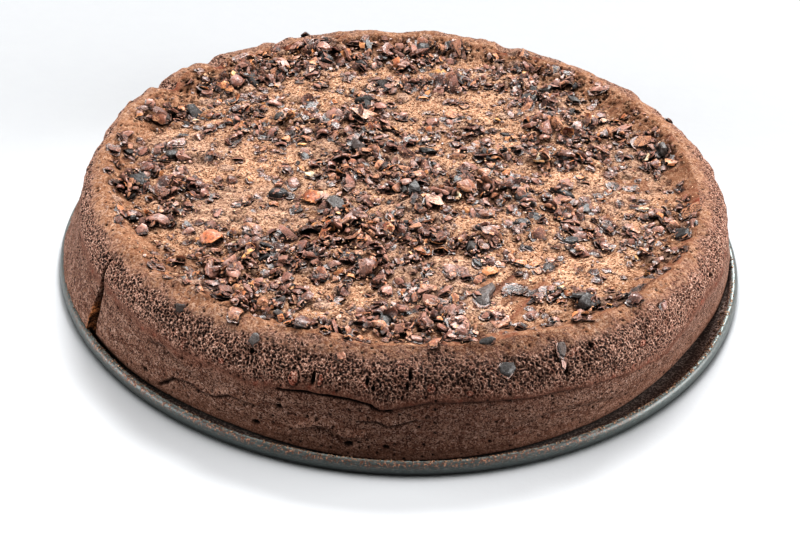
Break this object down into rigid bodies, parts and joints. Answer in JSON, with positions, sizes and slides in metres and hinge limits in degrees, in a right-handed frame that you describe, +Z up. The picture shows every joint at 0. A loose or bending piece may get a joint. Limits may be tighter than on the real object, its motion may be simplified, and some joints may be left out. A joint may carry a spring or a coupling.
{
  "type": "flourless chocolate cake",
  "caption": "Whole round chocolate cake with a soft shoulder, a sunken top strewn with cacao nibs, resting on the loose metal base of its tin.",
  "frame": {"origin": "middle of the tin base's underside", "axes": "+Z up; -Y is the side that shows in front, with the upright fold at the front left"},
  "size_m": [0.2596, 0.2596, 0.0407],
  "materials": {
    "cake_crumb": "matte baked crumb",
    "tin_steel": "worn dark non-stick steel",
    "nib_dark": "roasted cacao, satin",
    "nib_husk": "papery husk, satin"
  },
  "bodies": {
    "root": {"cake": "cake_crumb", "tin_base": "tin_steel"}
  },
  "joints": []
}
